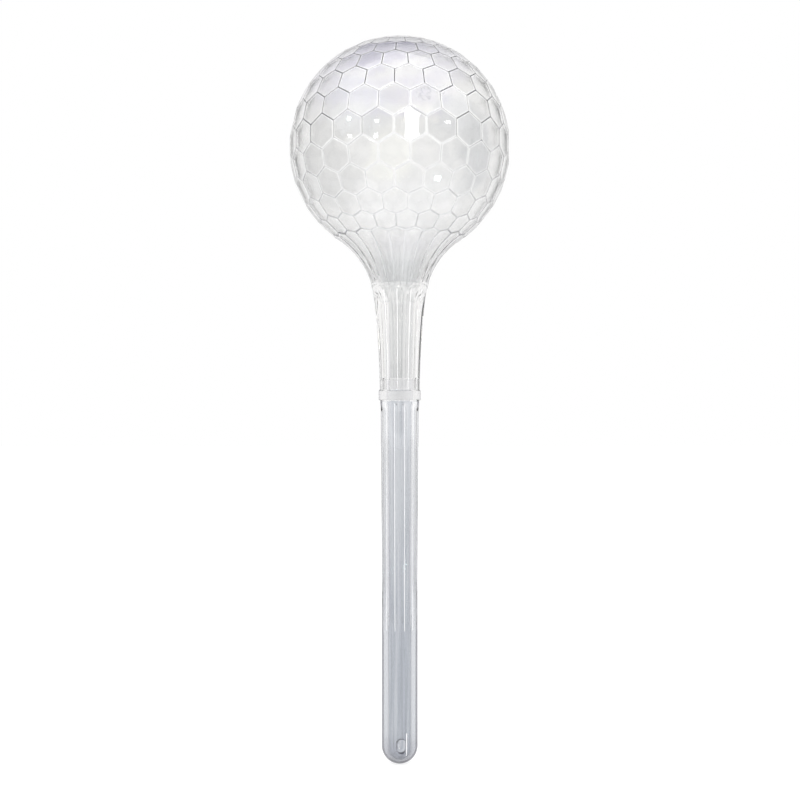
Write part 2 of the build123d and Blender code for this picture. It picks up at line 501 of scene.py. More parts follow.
def arc_section(start: Pair, end: Pair, tangent: Pair, count: int) -> Section:
    """Points of the arc that leaves a point along a direction and ends at another point.

    Args:
        start: Radius and height where the arc starts.
        end: Radius and height where it ends.
        tangent: Direction in which it leaves.
        count: Number of steps.

    Returns:
        The points, with both ends.
    """
    chord = Vector((end[0] - start[0], end[1] - start[1]))
    turn = Vector(tangent).normalized().angle_signed(chord)
    points = []
    for step in range(count + 1):
        share = step / count
        if abs(turn) < TINY:
            length, lean = share, 0.0
        else:
            length, lean = math.sin(turn * share) / math.sin(turn), turn * (1 - share)
        cosine, sine = length * math.cos(lean), length * math.sin(lean)
        across, rise = chord.x * cosine - chord.y * sine, chord.x * sine + chord.y * cosine
        points.append((start[0] + across, start[1] + rise))
    return points


def line_section(start: Pair, end: Pair, count: int) -> Section:
    """Evenly spaced points of a straight line, with both ends."""
    return [
        (start[0] + (end[0] - start[0]) * step / count, start[1] + (end[1] - start[1]) * step / count)
        for step in range(count + 1)
    ]


def circle_section(radius: float, height: float, start: float, end: float, count: int) -> Section:
    """Points of a circle round a point on the axis, from one latitude to another but without these two."""
    latitudes = [start + (end - start) * step / count for step in range(1, count)]
    return [(radius * math.cos(latitude), height + radius * math.sin(latitude)) for latitude in latitudes]


@dataclass(frozen=True)
class Flutes:
    """Flats cut side by side round a wall."""

    around: int = 12
    turn: float = 0.0
    ridge_share: float = 0.055
    columns: int = 22

    @property
    def pitch(self) -> float:
        """Angle of one flute."""
        return TURN / self.around

    @property
    def full_share(self) -> float:
        """Distance of a full flat from the axis, as a share of the round radius."""
        return math.cos(self.pitch / 2)

    def azimuths(self) -> list[float]:
        """Azimuth of each point of a fluted ring, two of them beside the ridge between two flats."""
        half = self.ridge_share / 2
        steps = self.columns + 1
        across = [-half] + [half + (1 - self.ridge_share) * step / steps for step in range(steps)]
        first = FRONT + self.turn - self.pitch / 2
        return [first + self.pitch * (flute + share) for flute in range(self.around) for share in across]

    def radius(self, round_radius: float, flat_share: float, azimuth: float) -> float:
        """Radius at an azimuth of a round wall whose flats lie at a share of its radius."""
        beside = (azimuth - FRONT - self.turn + self.pitch / 2) % self.pitch - self.pitch / 2
        return min(round_radius, round_radius * flat_share / math.cos(beside))


class Skin:
    """A mesh in the making: rings of points round the Z axis and the bands between them."""

    def __init__(self, mesh: bpy.types.Mesh | None = None) -> None:
        """Starts empty, or from the faces of a mesh.

        Args:
            mesh: The mesh to start from.
        """
        self.bm = bmesh.new()
        if mesh is not None:
            self.bm.from_mesh(mesh)
        layers = self.bm.faces.layers.float
        self.shade = layers.get("facet_shade") or layers.new("facet_shade")

    def ring(self, places: list[Point]) -> Ring:
        """Adds one ring of points."""
        return [self.bm.verts.new(place) for place in places]

    def round_ring(self, radius: float, height: float, like: Ring) -> Ring:
        """Adds a round ring whose points have the azimuths of another ring's."""
        outward = [corner.co.xy.normalized() * radius for corner in like]
        return self.ring([(place.x, place.y, height) for place in outward])

    def fluted_ring(self, radius: float, height: float, flat_share: float, flutes: Flutes) -> Ring:
        """Adds a ring with flats and a narrow ridge between each two of them.

        Args:
            radius: Radius of the round wall.
            height: Height of the ring.
            flat_share: Distance of the flats from the axis, as a share of the radius.
            flutes: Number and turn of the flats.

        Returns:
            The points.
        """
        places = []
        for azimuth in flutes.azimuths():
            wall = flutes.radius(radius, flat_share, azimuth)
            places.append((wall * math.cos(azimuth), wall * math.sin(azimuth), height))
        return self.ring(places)

    def fluted_band(self, first: Ring, second: Ring, flutes: Flutes, ridge: Wall = Wall.RIDGE) -> Ring:
        """Adds the faces between two fluted rings.

        Args:
            first: One ring.
            second: The next ring.
            flutes: Number and turn of the flats.
            ridge: What the ridges belong to.

        Returns:
            The second ring, ready to carry on from.
        """
        for place in range(len(first)):
            after = (place + 1) % len(first)
            on_ridge = place % (flutes.columns + 2) == 0
            corners = [first[place], first[after], second[after], second[place]]
            self.face(corners, ridge if on_ridge else Wall.OUTSIDE)
        return second

    def face(self, corners: Ring, wall: Wall, shade: float = 0.5) -> None:
        """Adds one face.

        Args:
            corners: Its corners in order.
            wall: The part of the surface that it belongs to.
            shade: Its share of the small differences between facets.
        """
        made = self.bm.faces.new(corners)
        made.material_index = wall.value
        made[self.shade] = shade

    def band(self, first: Ring, second: Ring, wall: Wall) -> Ring:
        """Adds the faces between two rings, of which the finer may have a multiple of the other's points.

        Args:
            first: One ring.
            second: The next ring.
            wall: The part of the surface that the faces belong to.

        Returns:
            The second ring, ready to carry on from.
        """
        few, many = (first, second) if len(first) <= len(second) else (second, first)
        step = len(many) // len(few)
        for place, corner in enumerate(few):
            across = [many[(place * step + k) % len(many)] for k in range(step + 1)]
            self.face([corner, *across, few[(place + 1) % len(few)]], wall)
        return second

    def bands(self, ring: Ring, section: Section, wall: Wall) -> Ring:
        """Carries on from a ring along a section of round rings.

        Args:
            ring: The ring to carry on from.
            section: Radius and height of each further ring.
            wall: The part of the surface that the faces belong to.

        Returns:
            The last ring.
        """
        for radius, height in section:
            ring = self.band(ring, self.round_ring(radius, height, ring), wall)
        return ring

    def pole(self, ring: Ring, height: float, wall: Wall) -> None:
        """Closes a ring with a point on the axis.

        Args:
            ring: The ring to close.
            height: Height of the point.
            wall: The part of the surface that the faces belong to.
        """
        tip = self.bm.verts.new((0.0, 0.0, height))
        for place, corner in enumerate(ring):
            self.face([corner, ring[(place + 1) % len(ring)], tip], wall)

    def finish(self, name: str, finishes: Finishes) -> bpy.types.Object:
        """Welds the skin, turns its faces outwards and makes an object of it.

        Edges that turn by more than the sharp angle are sharp, and so are those between two finishes.

        Args:
            name: Name of the object.
            finishes: Materials of the parts of the surface.

        Returns:
            The object, linked to the scene.
        """
        bmesh.ops.remove_doubles(self.bm, verts=self.bm.verts, dist=WELD)
        bmesh.ops.recalc_face_normals(self.bm, faces=self.bm.faces)
        for edge in self.bm.edges:
            same = len({face.material_index for face in edge.link_faces}) == 1
            edge.smooth = same and len(edge.link_faces) == 2 and edge.calc_face_angle() < SHARP_ANGLE
        used = sorted({face.material_index for face in self.bm.faces})
        for face in self.bm.faces:
            face.smooth = True
            face.material_index = used.index(face.material_index)
        mesh = bpy.data.meshes.new(name)
        self.bm.to_mesh(mesh)
        for value in used:
            mesh.materials.append(finishes[Wall(value)])
        open_edges = sum(not edge.is_manifold for edge in self.bm.edges)
        self.bm.free()
        log.info("%s: %d faces, %d open edges", name, len(mesh.polygons), open_edges)
        return add_object(name, mesh)


@dataclass
class Globe:
    """The upper moulding: faceted ball, funnel, fluted neck, rim and socket."""

    facets: FacetRule = field(default_factory=FacetRule)
    flutes: Flutes = field(default_factory=lambda: Flutes(turn=math.radians(9.3), columns=21))
    flat_radius: float = 40.8 * MM
    wall: float = 1.0 * MM
    crease_width: float = 0.2 * MM
    groove_width: float = 0.5 * MM
    groove_depth: float = 0.22 * MM
    facet_dome: float = 0.08 * MM
    facet_tilt: float = 0.008
    foot_height: float = 179.0 * MM
    funnel_height: float = 16.7 * MM
    foot_radius: float = 10.7 * MM
    foot_step: float = 0.1 * MM
    funnel_bore_radius: float = 7.7 * MM
    throat_radius: float = 4.8 * MM
    throat_depth: float = 7.5 * MM
    bend_radius: float = 9.25 * MM
    bend_depth: float = 8.5 * MM
    plain_depth: float = 3.0 * MM
    mouth_height: float = 135.3 * MM
    mouth_radius: float = 7.45 * MM
    bore_radius: float = 4.2 * MM
    socket_radius: float = 6.0 * MM
    socket_depth: float = 8.4 * MM
    socket_chamfer: float = 0.2 * MM
    rim_radius: float = 7.9 * MM
    rim_height: float = 4.0 * MM
    rim_chamfer: float = 0.35 * MM
    petal_rows: int = 14
    petal_column: float = 0.24
    petal_shade_step: float = 0.618
    petal_steps: int = 40
    rise_steps: int = 30
    bend_steps: int = 24
    bore_steps: int = 12
    throat_steps: int = 20
    funnel_steps: int = 24
    inside_slope: float = math.radians(56.0)
    inside_steps: int = 73

    @property
    def centre_height(self) -> float:
        """Height of the ball's centre."""
        return self.foot_height + self.funnel_height - self.lowest_corner(self.flat_radius)[1]

    def lowest_corner(self, flat_radius: float) -> Pair:
        """Radius and height of the lowest corners of the facets, from the ball's centre."""
        below = self.facets.rows_below
        return self.facets.corner(flat_radius, -below, -below - 1)

    def build(self, flow: bpy.types.NodeTree) -> bpy.types.Object:
        """Makes the closed moulding and dresses it.

        Args:
            flow: The node group of the moulding's traces.

        Returns:
            The object.
        """
        finishes = self.dress(flow)
        facets = FacetSkin(self.facets, finishes).mesh(
            flat_radius=self.flat_radius,
            centre_height=self.centre_height,
            crease_width=self.crease_width,
            groove_width=self.groove_width,
            groove_depth=self.groove_depth,
            facet_dome=self.facet_dome,
            facet_tilt=self.facet_tilt,
        )
        skin = Skin(facets)
        wall = skin.bm.faces.layers.float["wall"]
        for face in skin.bm.faces:
            face.material_index = round(face[wall])
        self._close_top(skin)
        foot = self._add_petals(skin)
        mouth = self._add_neck(skin, foot)
        self._add_inside(skin, mouth)
        return skin.finish("globe_clear", finishes)

    def dress(self, flow: bpy.types.NodeTree) -> Finishes:
        """Makes the materials of the globe's walls.

        Args:
            flow: The node group of the moulding's traces.

        Returns:
            The material of each part of the surface.
        """
        border = ((221.0 * MM, (0.88, 0.88, 0.885)), (228.0 * MM, (0.99, 0.99, 0.99)))
        finishes = {
            Wall.OUTSIDE: ClearFinish(
                "globe_outside",
                # The lilac band from 252 to 261 mm is a painted reflection of cool light above and behind the
                # ball.
                tints=(
                    (249.0 * MM, (0.975, 0.97, 0.962)),
                    (252.0 * MM, (0.80, 0.78, 0.87)),
                    (257.0 * MM, (0.64, 0.62, 0.78)),
                    (261.0 * MM, (0.66, 0.64, 0.79)),
                    (265.0 * MM, (0.93, 0.93, 0.95)),
                ),
                tint_tilt=0.15,
                tint_drift=9.0 * MM,
                shade_range=0.1,
                # Painted shade: soft grey patches for the blotches and grey facets of the ball, and one warm
                # white patch low in front that is a painted glow.
                painted_shade_spots=(
                    PaintedShadeSpot(in_mm(22.0, -33.5, 222.0), 11.0 * MM, (0.62, 0.63, 0.65)),
                    PaintedShadeSpot(in_mm(-27.0, -29.5, 222.0), 14.0 * MM, (0.68, 0.68, 0.68)),
                    PaintedShadeSpot(in_mm(17.0, -36.0, 236.0), 6.0 * MM, (0.72, 0.73, 0.76)),
                    PaintedShadeSpot(in_mm(-14.0, -37.0, 236.0), 9.0 * MM, (0.84, 0.85, 0.87)),
                    PaintedShadeSpot(in_mm(6.0, -37.0, 212.0), 12.0 * MM, (0.87, 0.87, 0.87)),
                    PaintedShadeSpot(in_mm(-3.0, -39.5, 217.5), 6.5 * MM, (1.0, 1.0, 0.96)),
                ),
                painted_edge_tint=WHITE,
                edge_start=0.4,
                edge_end=0.7,
                scuff_amount=0.45,
                scuff_place=in_mm(8.3, -37.5, 240.0),
            ),
            Wall.BEVEL: ClearFinish(
                "globe_bevel", tints=border, clearness=0.8, painted_edge_tint=WHITE, edge_start=0.4, edge_end=0.7
            ),
            # Painted shade: the creases turn near black where seen at a slant, and grey below 226 mm, for the
            # dark lines between the facets.
            Wall.CREASE: ClearFinish(
                "globe_crease",
                tints=border,
                clearness=0.88,
                painted_edge_tint=(0.01, 0.01, 0.015),
                painted_low_edge_tint=(0.42, 0.42, 0.44),
                low_edge_height=226.0 * MM,
                edge_start=0.17,
                edge_end=0.22,
                near_only=True,
            ),
            # Painted shade: dark lines along the petals' folds where they are seen at a slant.
            Wall.FOLD: ClearFinish(
                "petal_fold",
                clearness=0.9,
                painted_edge_tint=(0.05, 0.05, 0.07),
                edge_start=0.34,
                edge_end=0.42,
                near_only=True,
            ),
            Wall.INSIDE: ClearFinish(
                "globe_inside",
                tints=(
                    (180.0 * MM, (0.65, 0.665, 0.675)),
                    (186.0 * MM, (0.69, 0.705, 0.715)),
                    (191.0 * MM, (0.84, 0.85, 0.855)),
                    (194.0 * MM, (0.92, 0.925, 0.925)),
                    (200.0 * MM, (0.945, 0.95, 0.95)),
                    (245.0 * MM, (0.98, 0.98, 0.97)),
                ),
                roughness=0.2,
                haze_roughness=0.3,
                painted_edge_tint=WHITE,
                edge_start=0.3,
                edge_end=0.6,
                edge_polish=0.85,
            ),
            # Painted light: lighter streaks along the bore, and a lighter tint where it is seen at a slant.
            Wall.BORE: ClearFinish(
                "neck_bore",
                tints=(
                    (144.0 * MM, (0.58, 0.6, 0.61)),
                    (165.0 * MM, (0.65, 0.665, 0.67)),
                    (172.0 * MM, (0.56, 0.575, 0.58)),
                ),
                leaving_tint=(0.97, 0.97, 0.97),
                painted_edge_tint=(0.8, 0.8, 0.82),
                painted_streak_tint=(0.82, 0.83, 0.835),
                wave_size=1.6 * MM,
                wave_stretch=30.0,
            ),
            Wall.SEAT: ClearFinish("socket_wall", painted_edge_tint=WHITE, ior=1.12),
            Wall.RIDGE: ClearFinish(
                "neck_ridge", clearness=0.45, painted_edge_tint=(0.9, 0.9, 0.92), roughness=0.1
            ),
        }
        return {wall: finish.build(flow) for wall, finish in finishes.items()}

    def _rim_loop(self, skin: Skin, upper: bool) -> Ring:
        """Open rim of the facets, in order of azimuth from the front.

        Args:
            skin: The facets.
            upper: Whether the top rim is meant, or the bottom one.

        Returns:
            The points of the rim.
        """
        found = {
            corner
            for edge in skin.bm.edges
            if edge.is_boundary
            for corner in edge.verts
            if (corner.co.z > self.centre_height) == upper
        }
        return sorted(found, key=lambda v: (math.atan2(v.co.y, v.co.x) - FRONT + 1e-4) % TURN)

    def _close_top(self, skin: Skin) -> None:
        """Closes the facets with the flat on top.

        Args:
            skin: The facets.
        """
        rim = self._rim_loop(skin, upper=True)
        outline = [corner.co.copy() for corner in rim]
        radius = max(place.xy.length for place in outline)
        top = self.centre_height + self.flat_radius
        low = top - self.groove_depth * (1 - self.crease_width / self.groove_width)
        steps = ((self.crease_width, low, Wall.CREASE), (self.groove_width, top, Wall.BEVEL))
        for inset, height, wall in steps:
            share = 1 - inset / radius
            inner = skin.ring([(place.x * share, place.y * share, height) for place in outline])
            rim = skin.band(rim, inner, wall)
        skin.face(rim, Wall.OUTSIDE)

    def _petal_middle(self) -> Section:
        """Middle line of a petal, from the top point of its flat down to the foot."""
        below = self.facets.rows_below
        top = self.facets.corner(self.flat_radius, -below - 1, -below)
        corner = self.lowest_corner(self.flat_radius)
        slope = self.facets.latitude(below + 1)
        start = (corner[0] * self.facets.side_share, self.centre_height + corner[1])
        foot = (self.foot_radius, self.foot_height)
        arc = arc_section(start, foot, (-math.sin(slope), -math.cos(slope)), self.petal_steps)
        return [(top[0], self.centre_height + top[1])] + arc

    def _add_petals(self, skin: Skin) -> Ring:
        """Adds the petals of the funnel below the facets, with a groove between each two.

        Args:
            skin: The facets.

        Returns:
            The ring of points at the foot of the funnel.
        """
        middle = self._petal_middle()
        half = self.facets.pitch / 2
        top_height, low_height = middle[0][1], middle[1][1]
        foot_half_width = self.foot_radius * math.tan(half)
        crease = self.crease_width / foot_half_width / 2
        groove = self.groove_width / foot_half_width / 2
        flat = [self.petal_column * column for column in range(-3, 4)]
        shares = [-1.0, crease - 1.0, groove - 1.0, *flat, 1.0 - groove, 1.0 - crease]
        rim = self._rim_loop(skin, upper=False)
        parity = 0 if rim[0].co.z < rim[1].co.z else 1
        falls = [0.0] + [row / (self.petal_rows - 1) for row in range(self.petal_rows)]
        first = FRONT + self.facets.turn + (1 - self.facets.rows_below % 2) * half
        rows: list[Ring] = []
        for row, fall in enumerate(falls):
            below_rim = self.crease_width / 2 if row == 0 else self.groove_width
            places = []
            for petal in range(self.facets.around):
                azimuth = first + petal * 2 * half
                cosine, sine = math.cos(azimuth), math.sin(azimuth)
                for share in shares:
                    start = low_height + (top_height - low_height) * (1 - abs(share)) - below_rim
                    height = start + (self.foot_height - start) * fall
                    beside = (1 - abs(share)) / groove * self.groove_width
                    sunk = self.groove_depth * max(0.0, 1 - min(beside, below_rim) / self.groove_width)
                    radius = self._at_height(middle, height) - sunk - self.facet_dome
                    sideways = radius * math.tan(half) * share
                    x, y = radius * cosine - sideways * sine, radius * sine + sideways * cosine
                    places.append((x, y, height))
            rows.append(skin.ring(places))
        self._join_petals(skin, rim[parity:] + rim[:parity], rows[0], len(shares))
        for number, (upper, lower) in enumerate(zip(rows, rows[1:])):
            self._petal_band(skin, upper, lower, shares, Wall.BEVEL if number == 0 else Wall.OUTSIDE)
        return rows[-1]

    def _petal_band(self, skin: Skin, upper: Ring, lower: Ring, shares: list[float], flat: Wall) -> None:
        """Adds the faces between two rows of the petals.

        Args:
            skin: The facets.
            upper: The upper row.
            lower: The lower row.
            shares: Places of the columns across a petal.
            flat: What the flats of the petals belong to in this band.
        """
        walls = [Wall.FOLD, Wall.BEVEL] + [flat] * (len(shares) - 4) + [Wall.BEVEL, Wall.FOLD]
        for place in range(len(upper)):
            after = (place + 1) % len(upper)
            petal, column = divmod(place, len(shares))
            shade = (petal * self.petal_shade_step) % 1.0
            skin.face([upper[place], upper[after], lower[after], lower[place]], walls[column], shade)

    def _at_height(self, section: Section, height: float) -> float:
        """Radius of a section that only falls, at a height.

        Args:
            section: The section, from the top down.
            height: The height.

        Returns:
            The radius there.
        """
        for (r0, z0), (r1, z1) in zip(section, section[1:]):
            if height >= z1:
                return r0 + (r1 - r0) * (z0 - height) / (z0 - z1)
        return section[-1][0]

    def _join_petals(self, skin: Skin, rim: Ring, row: Ring, columns: int) -> None:
        """Adds the groove between the lowest facets and the petals.

        Args:
            skin: The facets.
            rim: Zigzag rim of the facets, which starts at a low point.
            row: First row of the petals, whose first point lies in a groove between two petals.
            columns: Points of the row in one petal.
        """
        rim = self._start_at(rim, row[0], 2)
        half = columns // 2
        for petal in range(self.facets.around):
            for part in (0, 1):
                upper = [rim[(2 * petal + part + k) % len(rim)] for k in (1, 0)]
                lower = [row[(columns * petal + half * part + k) % len(row)] for k in range(half + 1)]
                skin.face(upper + lower, Wall.FOLD)

    def _add_neck(self, skin: Skin, foot: Ring) -> Ring:
        """Adds the plain band, the flutes and the rim.

        Args:
            skin: The moulding so far.
            foot: Ring at the foot of the funnel.

        Returns:
            Outer ring of the mouth's flat face.
        """
        mouth = (self.mouth_radius, self.mouth_height)
        bend_start = (self.bend_radius, self.foot_height - self.bend_depth)
        rise = arc_section(mouth, bend_start, (0, 1), self.rise_steps)
        lean = (rise[-1][0] - rise[-2][0], rise[-1][1] - rise[-2][1])
        top = (self.foot_radius / self.facets.side_share + self.foot_step, self.foot_height)
        bend = arc_section(rise[-1], top, lean, self.bend_steps)
        full = self.flutes.full_share
        ring = None
        for radius, height in reversed(bend[1:]):
            fade = (self.foot_height - height - self.plain_depth) / (self.bend_depth - self.plain_depth)
            made = skin.fluted_ring(radius, height, 1 - (1 - full) * max(0.0, fade), self.flutes)
            if ring is None:
                skin.band(self._start_at(foot, made[0]), made, Wall.OUTSIDE)
            else:
                skin.fluted_band(ring, made, self.flutes, Wall.RIDGE if fade > 0 else Wall.OUTSIDE)
            ring = made
        rim_top = self.mouth_height + self.rim_height
        fluted = [place for place in reversed(rise) if place[1] > rim_top] + [(self.mouth_radius, rim_top)]
        for radius, height in fluted:
            ring = skin.fluted_band(ring, skin.fluted_ring(radius, height, full, self.flutes), self.flutes)
        edge = self.rim_chamfer
        rim = [
            (self.rim_radius - edge, rim_top),
            (self.rim_radius, rim_top - edge),
            (self.rim_radius, self.mouth_height + edge),
            (self.rim_radius - edge, self.mouth_height),
        ]
        return skin.bands(ring, rim, Wall.OUTSIDE)

    def _start_at(self, ring: Ring, corner: bmesh.types.BMVert, step: int = 1) -> Ring:
        """Turns a ring's list so that it starts at the point nearest to another one's azimuth.

        Args:
            ring: The ring.
            corner: The point whose azimuth is looked for.
            step: Every how many points of the ring may be the first.

        Returns:
            The ring's points.
        """
        towards = corner.co.xy.normalized()
        places = range(0, len(ring), step)
        nearest = min(places, key=lambda place: (ring[place].co.xy.normalized() - towards).length)
        return ring[nearest:] + ring[:nearest]

    def _add_inside(self, skin: Skin, mouth: Ring) -> None:
        """Adds the socket, the bore and the inside of the funnel and ball.

        Args:
            skin: The moulding so far.
            mouth: Outer ring of the mouth's flat face.
        """
        step_height = self.mouth_height + self.socket_depth
        socket = [
            (self.socket_radius + self.socket_chamfer, self.mouth_height),
            (self.socket_radius, self.mouth_height + self.socket_chamfer),
            (self.socket_radius, step_height),
        ]
        throat = (self.throat_radius, self.foot_height - self.throat_depth)
        taper = line_section((self.bore_radius, step_height), throat, self.bore_steps)
        shares = [step / self.throat_steps for step in range(1, self.throat_steps + 1)]
        widening = self.funnel_bore_radius - throat[0]
        bend = [
            (throat[0] + widening * (3 * share**2 - 2 * share**3), throat[1] + self.throat_depth * share)
            for share in shares
        ]
        inner, slope = self.flat_radius - self.wall, self.inside_slope
        shoulder = (inner * math.cos(slope), self.centre_height - inner * math.sin(slope))
        foot = (self.funnel_bore_radius, self.foot_height)
        funnel = arc_section(shoulder, foot, (-math.sin(slope), -math.cos(slope)), self.funnel_steps)
        ball = circle_section(inner, self.centre_height, -slope, math.pi / 2, self.inside_steps)
        ring = skin.bands(mouth, socket, Wall.SEAT)
        ring = skin.band(ring, skin.round_ring(self.bore_radius, step_height, ring[::2]), Wall.SEAT)
        ring = skin.bands(ring, taper[1:] + bend, Wall.BORE)
        ring = skin.bands(ring, funnel[-2::-1] + ball, Wall.INSIDE)
        skin.pole(ring, self.centre_height + inner, Wall.INSIDE)


@dataclass
class Stem:
    """The lower moulding: a thick-walled fluted tube with a spigot, a round tip and a drip hole."""

    flutes: Flutes = field(default_factory=Flutes)
    length: float = 135.3 * MM
    radius: float = 6.75 * MM
    straight_length: float = 48.0 * MM
    tip_wall: float = 1.8 * MM
    bore_tip_radius: float = 4.1 * MM
    bore_top_radius: float = 4.7 * MM
    shoulder_radius: float = 7.3 * MM
    shoulder_chamfer: float = 0.3 * MM
    flute_top_gap: float = 1.2 * MM
    flute_top_fade: float = 2.0 * MM
    flute_foot_fade: float = 22.0 * MM
    spigot_radius: float = 5.95 * MM
    spigot_length: float = 8.0 * MM
    spigot_chamfer: float = 0.4 * MM
    hole_width: float = 3.2 * MM
    hole_height: float = 5.4 * MM
    hole_level: float = 7.8 * MM
    painted_glint_turn: float = math.radians(21.8)
    painted_glint_half_turn: float = math.radians(1.3)
    painted_glint_foot: float = 4.4 * MM
    painted_glint_top: float = 12.8 * MM
    hole_turn: float = math.radians(6.4)
    ridge_start: float = 0.1
    fluted_steps: int = 110
    plain_steps: int = 90
    tip_steps: int = 30
    bore_steps: int = 90
    cup_steps: int = 18
    hole_steps: int = 48
    cutter_start: float = 1.2
    cutter_end: float = 0.1

    def build(self, flow: bpy.types.NodeTree) -> bpy.types.Object:
        """Makes the closed moulding and dresses it.

        Args:
            flow: The node group of the moulding's traces.

        Returns:
            The object.
        """
        finishes = self.dress(flow)
        skin = Skin()
        top, bottom = self._add_outside(skin)
        tip = circle_section(self.radius, self.radius, 0.0, -math.pi / 2, self.tip_steps)
        skin.pole(skin.bands(bottom, tip, Wall.OUTSIDE), 0.0, Wall.OUTSIDE)
        self._mark_painted_glint(skin)
        self._add_inside(skin, top)
        made = skin.finish("stem_clear", finishes)
        self._cut_hole(made, finishes[Wall.HOLE])
        return made

    def dress(self, flow: bpy.types.NodeTree) -> Finishes:
        """Makes the materials of the stem's walls.

        Args:
            flow: The node group of the moulding's traces.

        Returns:
            The material of each part of the surface.
        """
        finishes = {
            # Darker towards the bottom. The darkest tints at the round tip are painted shade, and the near
            # black tint at a slant is a painted dark outline.
            Wall.OUTSIDE: ClearFinish(
                "stem_outside",
                tints=(
                    (6.0 * MM, (0.5, 0.51, 0.55)),
                    (12.0 * MM, (0.62, 0.64, 0.67)),
                    (60.0 * MM, (0.67, 0.685, 0.715)),
                    (95.0 * MM, (0.8, 0.81, 0.83)),
                    (125.0 * MM, (0.93, 0.935, 0.95)),
                ),
                painted_edge_tint=(0.08, 0.08, 0.1),
                edge_start=0.5,
                edge_end=0.57,
            ),
            # Painted light and shade: lighter streaks along the bore, and a dark tint where it is seen at a
            # slant.
            Wall.BORE: ClearFinish(
                "stem_bore",
                tints=(
                    (30.0 * MM, (0.42, 0.45, 0.495)),
                    (80.0 * MM, (0.5, 0.525, 0.56)),
                    (135.0 * MM, (0.58, 0.615, 0.65)),
                ),
                leaving_tint=(0.95, 0.955, 0.96),
                painted_edge_tint=(0.3, 0.32, 0.36),
                edge_start=0.5,
                edge_end=0.8,
                painted_streak_tint=(0.66, 0.675, 0.71),
                wave_size=1.6 * MM,
                wave_stretch=30.0,
            ),
            Wall.INSIDE: ClearFinish(
                "spigot_bore",
                tints=((0.0, (0.88, 0.895, 0.91)),),
                leaving_tint=(0.98, 0.98, 0.98),
                painted_edge_tint=WHITE,
            ),
            Wall.SEAT: ClearFinish("spigot_wall", painted_edge_tint=WHITE, ior=1.12),
            Wall.RIDGE: ClearFinish(
                "stem_ridge", clearness=0.45, painted_edge_tint=(0.4, 0.4, 0.44), roughness=0.1
            ),
            # Painted highlight: a thin white line on the front of the tip.
            Wall.PAINTED_GLINT: ClearFinish(
                "tip_painted_glint", tints=((0.0, WHITE),), clearness=0.35, painted_edge_tint=WHITE, roughness=0.2
            ),
            # Painted shade: near black bands along the top and bottom of the hole's wall, for the dark arc
            # and line at its edges.
            Wall.HOLE: ClearFinish(
                "hole_wall",
                tints=(
                    (5.4 * MM, (0.04, 0.04, 0.06)),
                    (6.2 * MM, (0.6, 0.61, 0.65)),
                    (8.6 * MM, (0.6, 0.61, 0.65)),
                    (9.6 * MM, (0.02, 0.02, 0.03)),
                ),
                clearness=0.2,
                painted_edge_tint=(0.3, 0.3, 0.34),
                edge_start=0.95,
            ),
        }
        return {wall: finish.build(flow) for wall, finish in finishes.items()}

    def _add_outside(self, skin: Skin) -> tuple[Ring, Ring]:
        """Adds the fluted outside.

        Args:
            skin: The moulding so far.

        Returns:
            The top ring at the shoulder and the lowest ring of the straight length.
        """
        shoulder = (self.shoulder_radius, self.length - self.shoulder_chamfer)
        waist = (self.radius, self.straight_length)
        wall = line_section(shoulder, waist, self.fluted_steps)
        wall += line_section(waist, (self.radius, self.radius), self.plain_steps)[1:]
        flute_top = self.length - self.flute_top_gap
        first = ring = None
        for radius, height in wall:
            below_top = (flute_top - height) / self.flute_top_fade
            above_foot = (height - self.straight_length) / self.flute_foot_fade
            depth = max(0.0, min(1.0, below_top, above_foot))
            share = 1 - (1 - self.flutes.full_share) * depth
            made = skin.fluted_ring(radius, height, share, self.flutes)
            if ring is None:
                first = made
            else:
                ridge = Wall.RIDGE if depth > self.ridge_start else Wall.OUTSIDE
                skin.fluted_band(ring, made, self.flutes, ridge)
            ring = made
        return first, ring

    def _mark_painted_glint(self, skin: Skin) -> None:
        """Marks a short strip on the front of the tip, which is painted white as a highlight.

        Args:
            skin: The outside.
        """
        for face in skin.bm.faces:
            middle = face.calc_center_median()
            turn = math.atan2(middle.y, middle.x) - FRONT
            if abs(turn - self.painted_glint_turn) < self.painted_glint_half_turn and self.painted_glint_foot < middle.z < self.painted_glint_top:
                face.material_index = Wall.PAINTED_GLINT.value

    def _add_inside(self, skin: Skin, shoulder: Ring) -> None:
        """Adds the spigot and the bore.

        Args:
            skin: The moulding so far.
            shoulder: Ring at the top of the fluted wall.
        """
        top = self.length + self.spigot_length
        edge = self.spigot_chamfer
        floor = self.tip_wall + self.bore_tip_radius
        spigot = [
            (self.shoulder_radius - self.shoulder_chamfer, self.length),
            (self.spigot_radius, self.length),
            (self.spigot_radius, top - edge),
            (self.spigot_radius - edge, top),
        ]
        bore = line_section((self.bore_top_radius, top), (self.bore_tip_radius, floor), self.bore_steps)
        in_spigot = [place for place in bore if place[1] > self.length]
        cup = circle_section(self.bore_tip_radius, floor, 0.0, -math.pi / 2, self.cup_steps)
        ring = skin.bands(shoulder, spigot, Wall.SEAT)
        ring = skin.bands(ring, in_spigot, Wall.INSIDE)
        ring = skin.bands(ring, bore[len(in_spigot):] + cup, Wall.BORE)
        skin.pole(ring, self.tip_wall, Wall.BORE)

